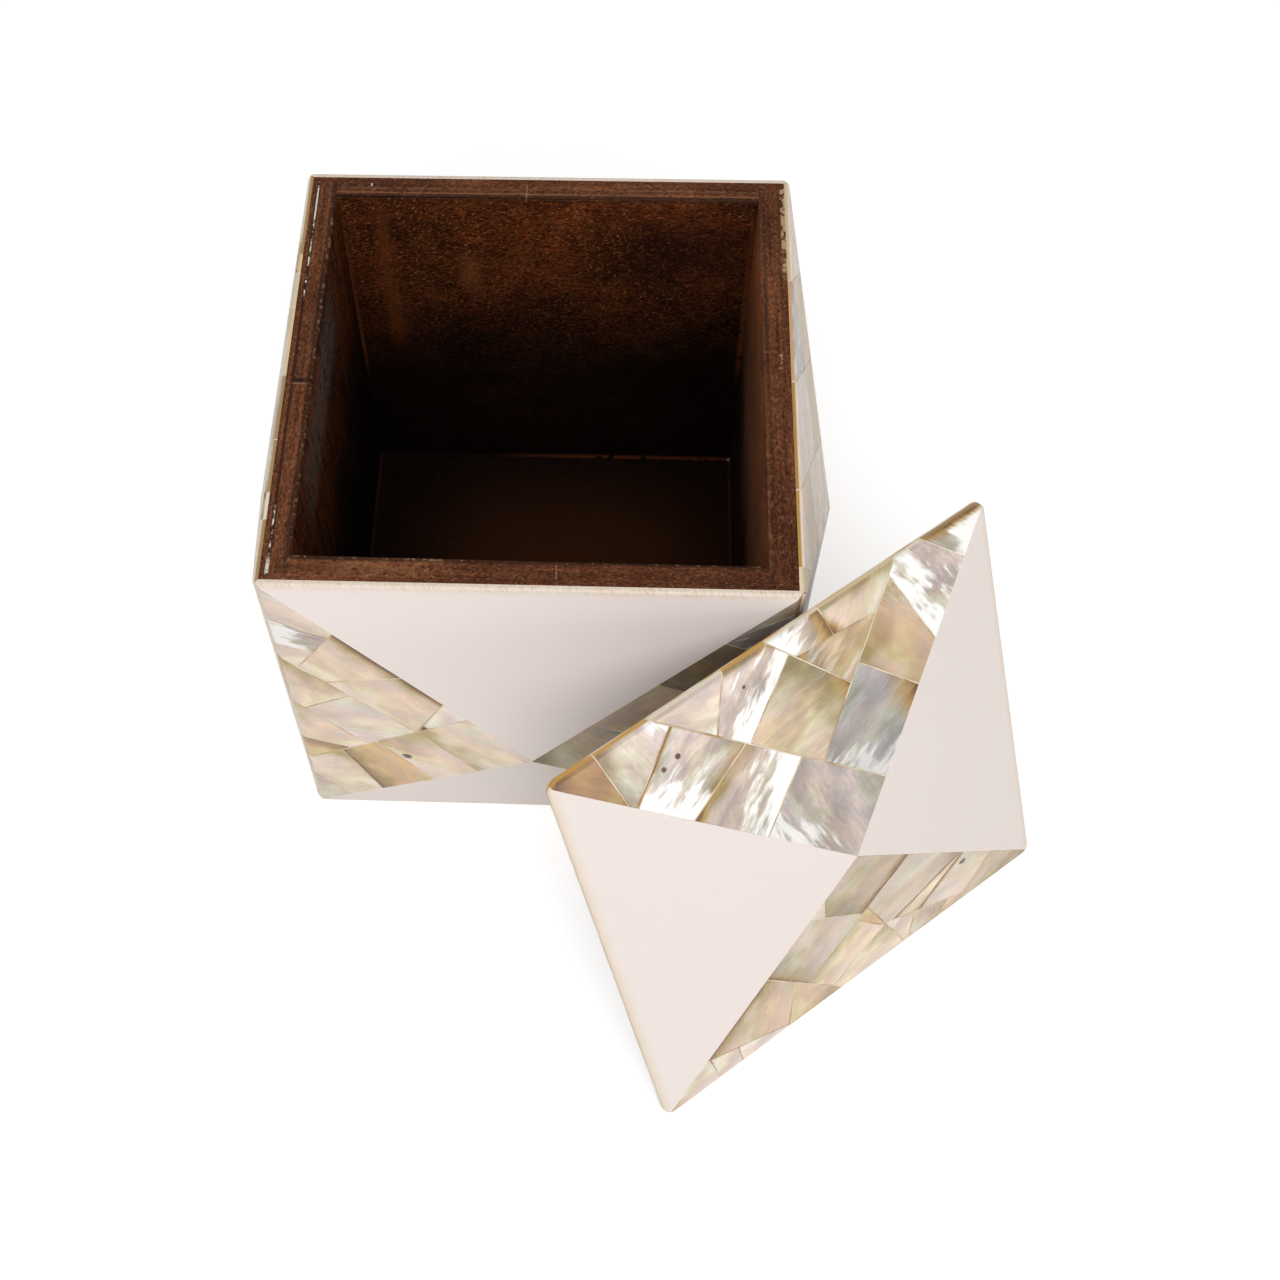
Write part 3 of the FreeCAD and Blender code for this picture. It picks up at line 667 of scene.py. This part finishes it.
# Meshes
def solid_of(node):
    """A piece's mesh with its corners welded and its flat faces whole, to work on."""
    mesh = bmesh.new()
    mesh.from_mesh(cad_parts[node].data)
    bmesh.ops.remove_doubles(mesh, verts=mesh.verts, dist=weld * MM)
    bmesh.ops.dissolve_limit(mesh, angle_limit=flat_angle, verts=mesh.verts, edges=mesh.edges)
    mesh.normal_update()
    return mesh


def ease(mesh, edges, width):
    """Round the given edges over."""
    bmesh.ops.bevel(mesh, geom=edges, offset=width * MM, segments=ease_steps, profile=0.5, affect="EDGES",
                    clamp_overlap=True)
    mesh.normal_update()


def stands_for(node, mesh, material):
    """Make the finished piece from its mesh, in the place of its CAD node."""
    data = bpy.data.meshes.new(node + "_finished")
    mesh.to_mesh(data)
    mesh.free()
    data.materials.append(material)
    piece = bpy.data.objects.new(node + "_finished", data)
    bpy.context.scene.collection.objects.link(piece)
    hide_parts(node)
    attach(piece, "lid" if node.startswith("lid_") else "box")
    return piece


class Panel:
    """A triangle of cladding, with distances on it in mm.

    They are measured along its outer edge from the middle, in from that edge, and down into it.
    """

    def __init__(self, node, mesh):
        lid = node.startswith("lid_")
        middle = sum((v.co for v in mesh.verts), Vector()) / len(mesh.verts)
        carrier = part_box("lid_plug") if lid else (cad_low * 0, UP * rim * MM)
        self.out = max(mesh.faces, key=lambda face: face.calc_area()).normal.copy()
        if self.out.dot(middle - (carrier[0] + carrier[1]) / 2) < 0:
            self.out.negate()
        upright = abs(self.out.z) < upright_rise
        self.along = UP if upright else UP.cross(self.out).normalized()
        # The outer edges of the lid's side plates climb with the lid
        if node in ("lid_left_plate", "lid_right_plate"):
            self.along = Vector(lid_axis).cross(UP).cross(lid_axis).normalized()
            self.along = (self.along - self.out * self.along.dot(self.out)).normalized()
        self.inward = self.out.cross(self.along)
        if self.spread(mesh, 1) > self.spread(mesh, -1):
            self.inward.negate()
        tip = max(mesh.verts, key=lambda v: v.co.dot(self.inward)).co
        self.tip = tip.dot(self.along)
        self.edge = min(v.co.dot(self.inward) for v in mesh.verts)
        self.top = max(v.co.dot(self.out) for v in mesh.verts)

    def spread(self, mesh, way):
        """How wide the panel is at its inward end, or at the other with way -1."""
        reach = [v.co.dot(self.inward) * way for v in mesh.verts]
        near = max(reach) - end_share * (max(reach) - min(reach))
        ends = [v.co.dot(self.along) for v, r in zip(mesh.verts, reach) if r > near]
        return max(ends) - min(ends)

    def place(self, point):
        """Where a point is on the panel, in mm."""
        along = point.dot(self.along) - self.tip
        inward = point.dot(self.inward) - self.edge
        return Vector((along, inward, self.top - point.dot(self.out))) / MM

    def is_face(self, face):
        """Whether a face belongs to the panel's polished side."""
        return face.normal.dot(self.out) > polished_slope

    def round_border(self, mesh):
        """Sand over the polished side's outer edge."""
        border = []
        for e in mesh.edges:
            level = max(self.place(v.co).y for v in e.verts)
            slopes = sorted(f.normal.dot(self.out) for f in e.link_faces)
            if level < border_reach and slopes[-1] > polished_slope and slopes[0] < border_slope:
                border.append(e)
        ease(mesh, border, border_ease)

    def round_joints(self, mesh):
        """Rub down the polished side's other edges."""
        inside = []
        for e in mesh.edges:
            slopes = sorted(f.normal.dot(self.out) for f in e.link_faces)
            if len(slopes) == 2 and slopes[1] > polished_slope and slopes[0] < joint_slope:
                inside.append(e)
        ease(mesh, inside, tile_ease)


def write(data, name, kind, values):
    """Keep values on a mesh's corners under a name that a material can read."""
    types = {"vector": "FLOAT_VECTOR", "color": "FLOAT_COLOR", "value": "FLOAT"}
    layer = data.attributes.new(name, types[kind], "POINT")
    flat = [number for value in values for number in value] if kind != "value" else values
    layer.data.foreach_set(kind, flat)


def cream_plate(node):
    """A resin plate with its edges eased."""
    mesh = solid_of(node)
    panel = Panel(node, mesh)
    panel.round_border(mesh)
    panel.round_joints(mesh)
    places = [panel.place(v.co) for v in mesh.verts]
    piece = stands_for(node, mesh, resin)
    write(piece.data, "panel_place", "vector", places)
    filed = 0.0 if node.startswith("lid_") else 1.0
    write(piece.data, "panel_filed", "value", [filed] * len(places))


def tiles_of(mesh):
    """The tiles of a panel, each as a list of its corners."""
    left = set(mesh.verts)
    tiles = []
    while left:
        tile = [min(left, key=lambda v: v.index)]
        left.discard(tile[0])
        for v in tile:
            fresh = [w for w in (e.other_vert(v) for e in v.link_edges) if w in left]
            tile += fresh
            left.difference_update(fresh)
        tiles.append(tile)
    return tiles


def holds(outline, x, y):
    """Whether an outline holds a point."""
    inside = False
    for a, b in zip(outline, outline[1:] + outline[:1]):
        if (a.y > y) != (b.y > y) and x < a.x + (b.x - a.x) * (y - a.y) / (b.y - a.y):
            inside = not inside
    return inside


def from_end(places, side, without):
    """How far each place is from the tile's end on one side, as a share of that end's reach.

    A tile without such an end has one value all over.
    """
    if side is None:
        return [without] * len(places)
    angle, reach = side
    way = Vector((math.cos(math.radians(angle)), math.sin(math.radians(angle)), 0))
    ends = [place.dot(way) for place in places]
    return [(max(ends) - end) / reach for end in ends]


def unseen_tile(chance):
    """Finish, growth lines and ends for a tile that the photograph does not show."""
    finish = chance.choice(common_finishes)
    warm = (chance.uniform(0, 360), chance.uniform(*warm_reaches))
    dark = (chance.uniform(0, 360), chance.uniform(*dark_reaches))
    turn = chance.uniform(0, 180)
    return finish, turn, warm, dark if chance.random() < dark_share else None, None


def shell_panel(node, chance):
    """A panel of shell tiles, each with its own finish, growth lines and edge, and its filler."""
    mesh = solid_of(node)
    panel = Panel(node, mesh)
    panel.round_border(mesh)
    panel.round_joints(mesh)
    mesh.verts.index_update()
    stem = node.removesuffix("_tiles")
    names = ("grain", "ends", "light", "pit_one", "pit_two", "body", "second", "edge")
    kept = {name: [None] * len(mesh.verts) for name in names}
    for tile in tiles_of(mesh):
        faces = [f for v in tile for f in v.link_faces if panel.is_face(f)]
        outline = [panel.place(v.co) for v in max(faces, key=lambda f: f.calc_area()).verts]
        middle = sum(outline, Vector()) / len(outline)
        finish, turn, warm, dark, painted_glare_end = unseen_tile(chance)
        for x, y, *shown in shown_tiles.get(stem, []):
            if holds(outline, x, y):
                finish, turn, warm, dark, painted_glare_end = shown
        pits = [pit for pit in shown_pits.get(stem, []) if holds(outline, pit[0], pit[1])]
        pits += [no_pit] * 2
        body, second, painted_flash = finishes[finish]
        edge = chance.choice(edge_colours)
        for x, y, shown in shown_edges.get(stem, []):
            if holds(outline, x, y):
                edge = shown
        seed = chance.uniform(0, seed_span)
        turned = Matrix.Rotation(-math.radians(turn), 3, "Z")
        places = [panel.place(v.co) for v in tile]
        from_ends = zip(from_end(places, warm, far_off), from_end(places, dark, far_off),
                        from_end(places, painted_glare_end, even_painted_glare))
        for v, place, (to_warm, to_dark, to_painted_glare) in zip(tile, places, from_ends):
            spot = turned @ (place - middle)
            kept["grain"][v.index] = (spot.x, spot.y, seed)
            kept["ends"][v.index] = (to_warm, to_dark, place.z)
            kept["light"][v.index] = (painted_flash, to_painted_glare, 0)
            for name, (x, y, radius) in zip(("pit_one", "pit_two"), pits):
                kept[name][v.index] = ((place.x - x) / radius, (place.y - y) / radius, 0)
            kept["body"][v.index] = linear(body)
            kept["second"][v.index] = linear(second)
            kept["edge"][v.index] = linear(edge)
    piece = stands_for(node, mesh, shell)
    for name in names:
        kind = "color" if name in ("body", "second", "edge") else "vector"
        write(piece.data, "shell_" + name, kind, kept[name])
    joints = solid_of(stem + "_filler")
    panel.round_border(joints)
    stands_for(stem + "_filler", joints, filler)


def wall_board(node, material):
    """A wall board whose inner edge is worn round along the opening."""
    mesh = solid_of(node)
    for axis in (Vector((1, 0, 0)), Vector((0, 1, 0))):
        for side in (-1, 1):
            geometry = mesh.verts[:] + mesh.edges[:] + mesh.faces[:]
            bmesh.ops.bisect_plane(mesh, geom=geometry, plane_co=axis * side * inner * MM, plane_no=axis)
    worn = []
    for e in mesh.edges:
        places = [v.co / MM for v in e.verts]
        level = all(abs(p.z - rim) < weld for p in places)
        around = all(max(abs(p.x), abs(p.y)) < inner + weld for p in places)
        if level and around:
            worn.append(e)
    ease(mesh, worn, rim_ease)
    stands_for(node, mesh, material)


for name in sorted(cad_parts):
    if name.endswith("_plate"):
        cream_plate(name)
    elif name.endswith("_tiles"):
        shell_panel(name, tile_draws)
    elif name.endswith("_wall_board"):
        wall_board(name, fibreboards[name])
    elif name in fibreboards:
        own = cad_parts[name].data.materials
        own.clear()
        own.append(fibreboards[name])


# The stage: a plain white floor and soft studio light. Each lamp has its place, the point that it faces,
# its width and its height, in metres, and its power in watts.
lamps = {
    "overhead": ((0.06, -0.8, 1.05), (0, 0, 0.05), 0.8, 0.8, 8.0),
    "front_right": ((0.95, -0.75, 0.3), (0.07, -0.09, 0.06), 0.35, 0.25, 1.0),
    "left": ((-0.9, -0.5, 0.3), (0, -0.06, 0.05), 0.5, 0.4, 0.5),
}


def white_floor():
    """A wide white floor that keeps the object's shadow."""
    material, tree = new_material("floor_white_paper")
    tooth_size = 3.0  # mm, coarser than real paper, so that it shows
    own_light = 0.42  # that the camera alone sees, so that the floor stays white
    size = 3.0        # metres from the middle to a side
    tooth = add(tree, "TexNoise", {"Vector": place_in_mm(tree), "Scale": 1 / tooth_size, "Detail": 2.0})
    colour = add(tree, "Mix", {0: tooth, 6: linear("F0F0F0"), 7: linear("F4F4F4")}, **COLOURS)
    seen = add(tree, "LightPath", {}, out="Is Camera Ray")
    glow = add(tree, "Math", {0: seen, 1: own_light}, operation="MULTIPLY")
    shader = add(tree, "BsdfPrincipled", {"Base Color": colour, "Roughness": 0.8,
                                          "Emission Color": linear("FFFFFF"), "Emission Strength": glow})
    add(tree, "OutputMaterial", {"Surface": shader})
    data = bpy.data.meshes.new("floor")
    corners = [(-size, -size, 0), (size, -size, 0), (size, size, 0), (-size, size, 0)]
    data.from_pydata(corners, [], [(0, 1, 2, 3)])
    data.materials.append(material)
    floor = bpy.data.objects.new("floor", data)
    bpy.context.scene.collection.objects.link(floor)


def softbox(name, place, target, width, height, power):
    """A flat soft lamp that points at the object."""
    lamp = bpy.data.lights.new(name, "AREA")
    lamp.shape = "RECTANGLE"
    lamp.size = width
    lamp.size_y = height
    lamp.energy = power
    stand = bpy.data.objects.new(name, lamp)
    stand.location = place
    stand.rotation_euler = (Vector(target) - Vector(place)).to_track_quat("-Z", "Y").to_euler()
    bpy.context.scene.collection.objects.link(stand)


def white_room():
    """White all round, which the camera and polished surfaces see, and a softer light from it."""
    white, soft_light = 1.0, 0.45
    world = bpy.data.worlds.new("white_room")
    world.use_nodes = True
    tree = world.node_tree
    tree.nodes.clear()
    seen = add(tree, "LightPath", {}, out="Is Camera Ray")
    mirrored = add(tree, "LightPath", {}, out="Is Glossy Ray")
    through = add(tree, "LightPath", {}, out="Is Transmission Ray")
    direct = add(tree, "Math", {0: seen, 1: mirrored}, operation="MAXIMUM")
    direct = add(tree, "Math", {0: direct, 1: through}, operation="MAXIMUM")
    strength = add(tree, "MapRange", {"Value": direct, "To Min": soft_light, "To Max": white})
    light = add(tree, "Background", {"Color": linear("FFFFFF"), "Strength": strength})
    add(tree, "OutputWorld", {"Surface": light})
    bpy.context.scene.world = world


def photo_camera():
    """The photograph's camera: its place, its view and the part of its picture that was kept."""
    lens = bpy.data.cameras.new("camera")
    lens.sensor_width = sensor_width
    lens.lens = focal_pixels / photo_width * sensor_width
    lens.shift_x = (photo_width / 2 - optical_centre[0]) / photo_width
    lens.shift_y = (optical_centre[1] - photo_width / 2) / photo_width
    camera = bpy.data.objects.new("camera", lens)
    turn = Matrix.Rotation(math.radians(camera_azimuth), 4, "Z")
    tilt = Matrix.Rotation(math.radians(90 - camera_elevation), 4, "X")
    roll = Matrix.Rotation(math.radians(camera_roll), 4, "Z")
    camera.matrix_world = Matrix.Translation(camera_place * MM) @ turn @ tilt @ roll
    bpy.context.scene.collection.objects.link(camera)
    bpy.context.scene.camera = camera


white_floor()
white_room()
for name, (place, target, width, height, power) in lamps.items():
    softbox(name, place, target, width, height, power)
photo_camera()
bpy.context.scene.view_settings.view_transform = "Standard"
